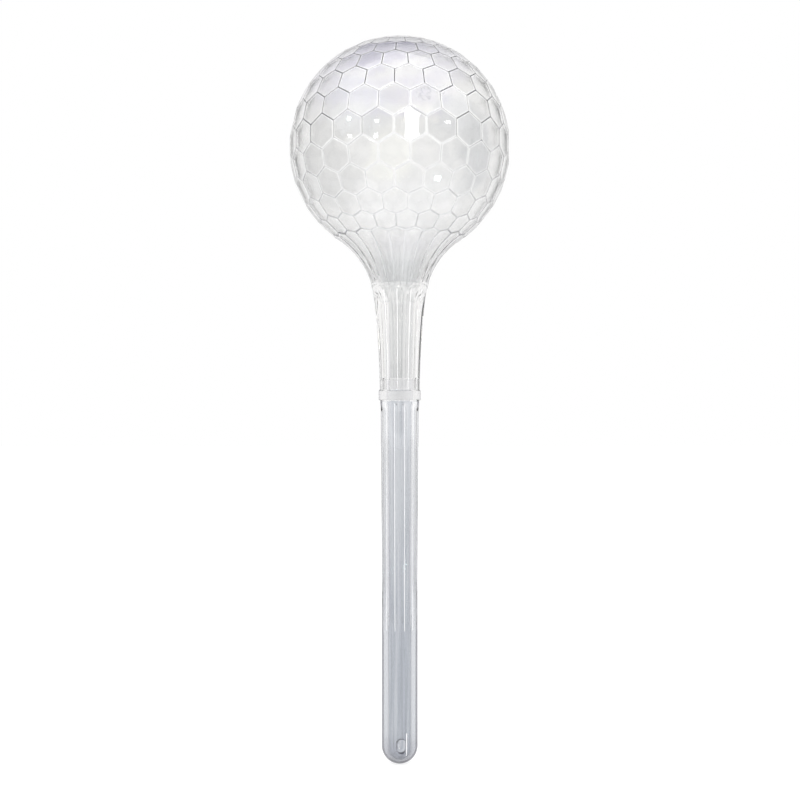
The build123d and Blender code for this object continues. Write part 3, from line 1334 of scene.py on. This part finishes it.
    def _hole_cutter(self, finish: bpy.types.Material) -> bpy.types.Object:
        """Makes the upright slot with round ends that cuts the drip hole.

        Args:
            finish: Material of the hole's wall.

        Returns:
            The object.
        """
        cutter = bmesh.new()
        azimuth = FRONT + self.hole_turn
        outward = Vector((math.cos(azimuth), math.sin(azimuth), 0.0))
        across = Vector((-outward.y, outward.x, 0.0))
        half = self.hole_width / 2
        straight = self.hole_height / 2 - half
        outline = []
        for step in range(self.hole_steps):
            angle = TURN * step / self.hole_steps
            rise = half * math.sin(angle) + math.copysign(straight, math.sin(angle + TINY))
            outline.append(across * half * math.cos(angle) + Vector((0, 0, self.hole_level + rise)))
        near = [cutter.verts.new(place + outward * self.radius * self.cutter_start) for place in outline]
        far = [cutter.verts.new(place + outward * self.radius * self.cutter_end) for place in outline]
        cutter.faces.new(near)
        cutter.faces.new(far)
        for place in range(len(outline)):
            cutter.faces.new([near[place], near[place - 1], far[place - 1], far[place]])
        bmesh.ops.recalc_face_normals(cutter, faces=cutter.faces)
        mesh = bpy.data.meshes.new("hole_cutter")
        cutter.to_mesh(mesh)
        cutter.free()
        mesh.materials.append(finish)
        return add_object("hole_cutter", mesh)

    def _cut_hole(self, made: bpy.types.Object, finish: bpy.types.Material) -> None:
        """Cuts the drip hole through the front wall.

        Args:
            made: The stem.
            finish: Material of the hole's wall.
        """
        tool = self._hole_cutter(finish)
        cut = made.modifiers.new("drip_hole", "BOOLEAN")
        cut.operation = "DIFFERENCE"
        cut.solver = "EXACT"
        cut.material_mode = "TRANSFER"
        cut.object = tool
        result = evaluated_mesh(made)
        made.modifiers.remove(cut)
        bpy.data.objects.remove(tool)
        made.data = result
        result.name = "stem_clear"


@dataclass(frozen=True)
class MouldingFlow:
    """What moulding leaves in clear plastic: soft waves, faint haze and a small scuff. The waves also lay out
    the painted streaks of light and shade in the bores.
    """

    wave_detail: float = 1.5
    haze_scale: float = 60.0
    haze_detail: float = 4.0
    haze_limits: Pair = (0.45, 0.75)
    scuff_radius: float = 3.0 * MM
    scratch_scale: float = 520.0
    scratch_width: float = 0.045

    def build(self) -> bpy.types.NodeTree:
        """Makes the shader node group that every finish places in its material.

        Returns:
            The node group.
        """
        group = bpy.data.node_groups.new("moulding_flow", "ShaderNodeTree")
        for name in ("Wave Size", "Stretch", "Scuff Amount"):
            group.interface.new_socket(name, in_out="INPUT", socket_type="NodeSocketFloat")
        group.interface.new_socket("Scuff Place", in_out="INPUT", socket_type="NodeSocketVector")
        for name in ("Wave", "Haze", "Scuff"):
            group.interface.new_socket(name, in_out="OUTPUT", socket_type="NodeSocketFloat")
        nodes = Nodes(group)
        given = nodes.add("NodeGroupInput").outputs
        place = nodes.object_place()
        scale = nodes.field(1.0) / nodes.field(given["Wave Size"])
        size = nodes.vector(scale, scale, scale / nodes.field(given["Stretch"]))
        wave = self._noise(nodes, nodes.vector_math("MULTIPLY", place, size), 1.0, self.wave_detail)
        haze = nodes.ramp(self._noise(nodes, place, self.haze_scale, self.haze_detail), self.haze_limits)
        scratch = nodes.field(self._noise(nodes, place, self.scratch_scale, 1.0)) - 0.5
        scratched = scratch.math("ABSOLUTE").math("LESS_THAN", self.scratch_width)
        away = nodes.field(nodes.vector_math("DISTANCE", place, given["Scuff Place"]))
        near = away.math("LESS_THAN", self.scuff_radius)
        scuff = near * scratched * nodes.field(given["Scuff Amount"])
        nodes.add("NodeGroupOutput", {"Wave": wave, "Haze": haze, "Scuff": scuff})
        return group

    def _noise(
        self, nodes: Nodes, place: bpy.types.NodeSocket, scale: float, detail: float
    ) -> bpy.types.NodeSocket:
        """Noise over a place."""
        inputs = {"Vector": place, "Scale": scale, "Detail": detail}
        return nodes.add("ShaderNodeTexNoise", inputs).outputs["Fac"]


@dataclass(frozen=True)
class PaintedShadeSpot:
    """A soft patch of painted shade, darker than the wall around it, or of painted glow where its tint is
    lighter.

    Its last three values are shares of its radius: how far its border wanders, where it starts, and where
    it is full.
    """

    middle: Point
    radius: float
    tint: Colour
    wander: float = 1.5
    outer: float = 1.25
    core: float = 0.3

    def share(self, nodes: Nodes, haze: Formula) -> Formula:
        """How much a place lies in the spot.

        Args:
            nodes: The material's nodes.
            haze: Cloudiness of the plastic, which the spot's border wanders with.

        Returns:
            The share.
        """
        away = nodes.field(nodes.vector_math("DISTANCE", nodes.object_place(), self.middle))
        wandering = away + (haze - 0.5) * (self.radius * self.wander)
        return nodes.smooth_mask(wandering, self.radius * self.outer, self.radius * self.core)


@dataclass(frozen=True)
class ClearFinish:
    """A wall of clear moulded plastic, whose tint changes with height and where it is seen at a slant. Its
    tint at a slant is painted shade where it is dark: the dark lines at edges, creases and folds.
    """

    name: str
    tints: tuple[tuple[float, Colour], ...] = ((0.0, (0.97, 0.97, 0.975)),)
    tint_tilt: float = 0.0
    tint_drift: float = 0.0
    shade_range: float = 0.0
    painted_shade_spots: tuple[PaintedShadeSpot, ...] = ()
    leaving_tint: Colour | None = None
    painted_streak_tint: Colour | None = None
    painted_streak_limits: Pair = (0.42, 0.66)
    # Painted shade where dark: the colour mixed in where the wall is seen at a slant.
    painted_edge_tint: Colour = (0.6, 0.61, 0.64)
    painted_low_edge_tint: Colour | None = None
    low_edge_height: float = 0.0
    edge_start: float = 0.7
    edge_end: float = 1.0
    edge_polish: float = 0.0
    near_only: bool = False
    scuff_amount: float = 0.0
    scuff_place: Point = (0.0, 0.0, 0.0)
    scuff_tint: Colour = (0.35, 0.36, 0.4)
    roughness: float = 0.02
    haze_roughness: float = 0.05
    wave_size: float = 12.0 * MM
    wave_stretch: float = 1.0
    wave_depth: float = 0.03 * MM
    clearness: float = 1.0
    ior: float = 1.5

    def build(self, flow: bpy.types.NodeTree) -> bpy.types.Material:
        """Makes the material.

        Args:
            flow: The node group of the moulding's traces.

        Returns:
            The material.
        """
        material, nodes = new_material(self.name)
        given = {
            "Wave Size": self.wave_size,
            "Stretch": self.wave_stretch,
            "Scuff Amount": self.scuff_amount,
            "Scuff Place": self.scuff_place,
        }
        traces = nodes.add("ShaderNodeGroup", given, node_tree=flow).outputs
        rough = nodes.ramp(traces["Haze"], (0.0, 1.0), (self.roughness, self.haze_roughness))
        waves = {"Height": traces["Wave"], "Strength": 1.0, "Distance": self.wave_depth}
        bump = nodes.add("ShaderNodeBump", waves)
        facing = nodes.add("ShaderNodeLayerWeight", {"Blend": 0.5}).outputs["Facing"]
        slant = nodes.ramp(facing, (self.edge_start, self.edge_end))
        finish = {
            "Transmission Weight": self.clearness,
            "IOR": self.ior,
            "Metallic": 0.0,
            "Normal": bump.outputs[0],
            "Roughness": rough.either(rough * (1.0 - self.edge_polish), slant),
            "Base Color": self._edge(nodes, self._wall(nodes, traces), slant, traces["Scuff"]),
        }
        nodes.fill(nodes.tree.nodes["Principled BSDF"], finish)
        return material

    def _wall(self, nodes: Nodes, traces: bpy.types.NodeOutputs) -> bpy.types.NodeSocket:
        """Colour of the wall where it is seen straight, with its painted shade spots and painted streaks.

        Args:
            nodes: The material's nodes.
            traces: What the node group of the moulding's traces puts out.

        Returns:
            The socket that carries the colour.
        """
        haze = nodes.field(traces["Haze"])
        stored = nodes.add("ShaderNodeAttribute", attribute_name="facet_shade").outputs["Fac"]
        darker = nodes.ramp(stored, (0.0, 1.0), (0.0, self.shade_range))
        colour = nodes.mix(darker, self._tint(nodes, haze), (0.0, 0.0, 0.0))
        # Painted shade spots, and painted glow where a spot is lighter.
        for spot in self.painted_shade_spots:
            colour = nodes.mix(spot.share(nodes, haze), colour, spot.tint)
        if self.leaving_tint is not None:
            leaving = nodes.add("ShaderNodeNewGeometry").outputs["Backfacing"]
            colour = nodes.mix(leaving, colour, self.leaving_tint)
        # Painted streaks of light and shade along the wall, laid out by the waves.
        if self.painted_streak_tint is not None:
            colour = nodes.mix(nodes.ramp(traces["Wave"], self.painted_streak_limits), colour, self.painted_streak_tint)
        return colour

    def _tint(self, nodes: Nodes, haze: Formula) -> bpy.types.NodeSocket:
        """Tint of the wall, which changes with height.

        Args:
            nodes: The material's nodes.
            haze: Cloudiness of the plastic, which the bands of colour drift with.

        Returns:
            The socket that carries the colour.
        """
        side, _, height = nodes.parts(nodes.object_place())
        height = height - side * self.tint_tilt + (haze - 0.5) * self.tint_drift
        ramp = nodes.add("ShaderNodeValToRGB", {0: height / WHOLE_HEIGHT})
        stops = ramp.color_ramp.elements
        stops.remove(stops[1])
        stops[0].position = self.tints[0][0] / WHOLE_HEIGHT
        stops[0].color = (*self.tints[0][1], 1.0)
        for level, colour in self.tints[1:]:
            stops.new(level / WHOLE_HEIGHT).color = (*colour, 1.0)
        return ramp.outputs[0]

    def _edge(
        self, nodes: Nodes, colour: bpy.types.NodeSocket, slant: Formula, scuff: bpy.types.NodeSocket
    ) -> bpy.types.NodeSocket:
        """Adds the painted edge tint where the wall is seen at a slant, which is painted shade where it is
        dark, and the scuff.

        Args:
            nodes: The material's nodes.
            colour: Colour of the wall where it is seen straight.
            slant: How much the wall is seen at a slant.
            scuff: Where the scuff lies.

        Returns:
            The socket that carries the colour.
        """
        if self.near_only:
            walls_before = nodes.add("ShaderNodeLightPath").outputs["Transmission Depth"]
            slant = slant * nodes.field(walls_before).math("LESS_THAN", 0.5)
        if self.painted_low_edge_tint is not None:
            low = nodes.parts(nodes.object_place())[2].math("LESS_THAN", self.low_edge_height)
            colour = nodes.mix(slant * low, colour, self.painted_low_edge_tint)
            slant = slant - slant * low
        colour = nodes.mix(slant, colour, self.painted_edge_tint)
        return nodes.mix(scuff, colour, self.scuff_tint)


def direction(azimuth: float, elevation: float) -> Vector:
    """Direction of length 1, from degrees to the right of the front and degrees above the level."""
    side, rise = FRONT + math.radians(azimuth), math.radians(elevation)
    return Vector((math.cos(side) * math.cos(rise), math.sin(side) * math.cos(rise), math.sin(rise)))


@dataclass(frozen=True)
class Softbox:
    """A soft lamp that faces the ball, at an azimuth and elevation in degrees."""

    name: str
    azimuth: float
    elevation: float
    distance: float
    width: float
    height: float
    radiance: float
    colour: Colour = WHITE

    def build(self, target: Vector) -> None:
        """Hangs the lamp.

        Args:
            target: The point that it faces.
        """
        lamp = bpy.data.lights.new(self.name, "AREA")
        lamp.shape = "RECTANGLE"
        lamp.size = self.width
        lamp.size_y = self.height
        lamp.energy = self.radiance * math.pi * self.width * self.height
        lamp.color = self.colour
        holder = add_object(self.name, lamp)
        towards = direction(self.azimuth, self.elevation)
        holder.location = target + towards * self.distance
        holder.rotation_euler = towards.to_track_quat("Z", "Y").to_euler()


@dataclass(frozen=True)
class RoomShade:
    """A darker part of the room: its direction from the front and how wide it is, in degrees."""

    azimuth: float
    elevation: float
    core: float
    reach: float
    colour: Colour

    def mask(self, nodes: Nodes) -> Formula:
        """Mask of the directions that look at this part of the room."""
        looked = nodes.add("ShaderNodeTexCoord").outputs["Generated"]
        nearness = nodes.vector_math("DOT_PRODUCT", looked, direction(self.azimuth, self.elevation))
        limits = (math.cos(math.radians(angle)) for angle in (self.reach, self.core))
        return nodes.smooth_mask(nearness, *limits)


@dataclass(frozen=True)
class Studio:
    """Camera, white surroundings, soft lamps and floor."""

    camera_distance: float = 444.0 * MM
    camera_height: float = 135.5 * MM
    camera_side: float = 0.11 * MM
    focal_pixels: float = 1189.0
    image_pixels: float = 800.0
    floor_size: float = 6.0
    floor_glow: float = 2.3
    floor_shade: float = 0.34
    floor_seen_through: float = 0.28
    room_shades: tuple[RoomShade, ...] = (
        RoomShade(0.0, 0.0, 30.0, 62.0, (0.1, 0.1, 0.11)),
        RoomShade(195.0, 68.0, 12.0, 24.0, (0.3, 0.28, 0.48)),
    )
    flag_side: Pair = (math.cos(math.radians(32.0)), math.cos(math.radians(22.0)))
    flag_rise: Pair = (math.sin(math.radians(7.0)), math.sin(math.radians(4.0)))
    flag_colour: Colour = (0.85, 0.85, 0.87)
    softboxes: tuple[Softbox, ...] = (
        Softbox("overhead_softbox", 0.0, 60.0, 0.8, 2.0, 1.1, 1.8),
        Softbox("strip_softbox", 10.7, 13.0, 1.2, 0.07, 0.5, 8.0),
        Softbox("glint_left_high", -54.1, 14.6, 1.2, 0.024, 0.018, 34.0, (0.8, 1.0, 1.0)),
        Softbox("glint_left_low", -53.6, 10.6, 1.2, 0.022, 0.012, 34.0),
        Softbox("glint_middle_high", -22.9, 13.8, 1.2, 0.022, 0.014, 34.0),
        Softbox("glint_middle_low", -22.9, 10.2, 1.2, 0.016, 0.016, 34.0),
        Softbox("glint_right", 44.2, 13.8, 1.2, 0.024, 0.014, 34.0),
        Softbox("glint_cool", 45.0, -35.5, 0.337, 0.012, 0.008, 34.0, (0.75, 1.0, 1.0)),
        Softbox("glow_warm", 7.7, 22.0, 1.2, 0.2, 0.2, 12.0, (1.0, 0.97, 0.82)),
    )

    def add_camera(self) -> None:
        """Adds the camera at the photograph's place."""
        camera = bpy.data.cameras.new("camera")
        camera.sensor_width = 36.0
        camera.lens = self.focal_pixels / self.image_pixels * camera.sensor_width
        camera.clip_start = 10.0 * MM
        holder = add_object("camera", camera)
        holder.location = (self.camera_side, -self.camera_distance, self.camera_height)
        holder.rotation_euler = (math.pi / 2, 0.0, 0.0)
        bpy.context.scene.camera = holder

    def add_lamps(self, target: Vector) -> None:
        """Hangs the soft lamps, which face a point."""
        for softbox in self.softboxes:
            softbox.build(target)

    def add_world(self) -> None:
        """Adds the white surroundings, and the darker parts of the room that only some rays show."""
        world = bpy.data.worlds.new("white_surroundings")
        world.use_nodes = True
        bpy.context.scene.world = world
        nodes = Nodes(world.node_tree)
        rays = nodes.add("ShaderNodeLightPath").outputs
        reflected = nodes.field(rays["Glossy Depth"]).math("GREATER_THAN", 0.5)
        colour: object = (*WHITE, 1.0)
        for shade in self.room_shades:
            colour = nodes.mix(shade.mask(nodes) * reflected, colour, shade.colour)
        flags = self._flags(nodes, nodes.add("ShaderNodeTexCoord").outputs["Generated"])
        seen_through = nodes.field(rays["Is Transmission Ray"])
        colour = nodes.mix(flags * seen_through, colour, self.flag_colour)
        nodes.fill(world.node_tree.nodes["Background"], {"Color": colour, "Strength": 1.0})

    def _flags(self, nodes: Nodes, looked: bpy.types.NodeSocket) -> Formula:
        """Mask of the dark cards that stand low on both sides, as where clear things are photographed.

        Args:
            nodes: The nodes that it adds to.
            looked: Direction of length 1 that is looked in.

        Returns:
            The mask.
        """
        side, _, rise = nodes.parts(looked)
        beside = nodes.smooth_mask(side.math("ABSOLUTE"), *self.flag_side)
        return beside * nodes.smooth_mask(rise, *self.flag_rise)

    def _floor_colour(self, nodes: Nodes) -> Formula:
        """Shade of the floor: pale, and dark to both sides where it is seen through the plastic."""
        towards = nodes.vector_math("NORMALIZE", nodes.object_place())
        seen = nodes.field(nodes.add("ShaderNodeLightPath").outputs["Is Transmission Ray"])
        through = nodes.field(self.floor_seen_through)
        flagged = nodes.field(self.floor_seen_through * self.flag_colour[0])
        through = through.either(flagged, self._flags(nodes, towards))
        return nodes.field(self.floor_shade).either(through, seen)

    def add_floor(self) -> None:
        """Adds the plain floor, which keeps the object's shadow."""
        material, nodes = new_material("pale_floor")
        lit = self._floor_colour(nodes)
        finish = {
            "Roughness": 1.0,
            "Specular IOR Level": 0.0,
            "Base Color": lit,
            "Emission Color": lit,
            "Emission Strength": self.floor_glow,
        }
        nodes.fill(nodes.tree.nodes["Principled BSDF"], finish)
        mesh = bpy.data.meshes.new("pale_floor")
        half = self.floor_size / 2
        corners = [(-half, -half, 0.0), (half, -half, 0.0), (half, half, 0.0), (-half, half, 0.0)]
        mesh.from_pydata(corners, [], [(0, 1, 2, 3)])
        mesh.materials.append(material)
        add_object("pale_floor", mesh)


def place(piece: bpy.types.Object, body: str, node: str, slot: str) -> None:
    """Ties a piece to the frame and reports it.

    Args:
        piece: The piece.
        body: Body that it rides on.
        node: Node that it stands for.
        slot: Material slot that it takes its finish from; not used.
    """
    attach(piece, body)
    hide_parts(node)
    log.info("%s stands for %s and rides on %s", piece.name, node, body)


def main() -> None:
    """Builds the watering globe and its studio."""
    bpy.context.scene.view_settings.view_transform = "Standard"
    studio = Studio()
    studio.add_camera()
    studio.add_world()
    studio.add_floor()
    flow = MouldingFlow().build()
    globe = Globe()
    studio.add_lamps(Vector((0.0, 0.0, globe.centre_height)))
    place(globe.build(flow), "globe_body", "globe", "globe_clear")
    place(Stem().build(flow), "stem_body", "stem", "stem_clear")


if __name__ == "__main__":
    main()
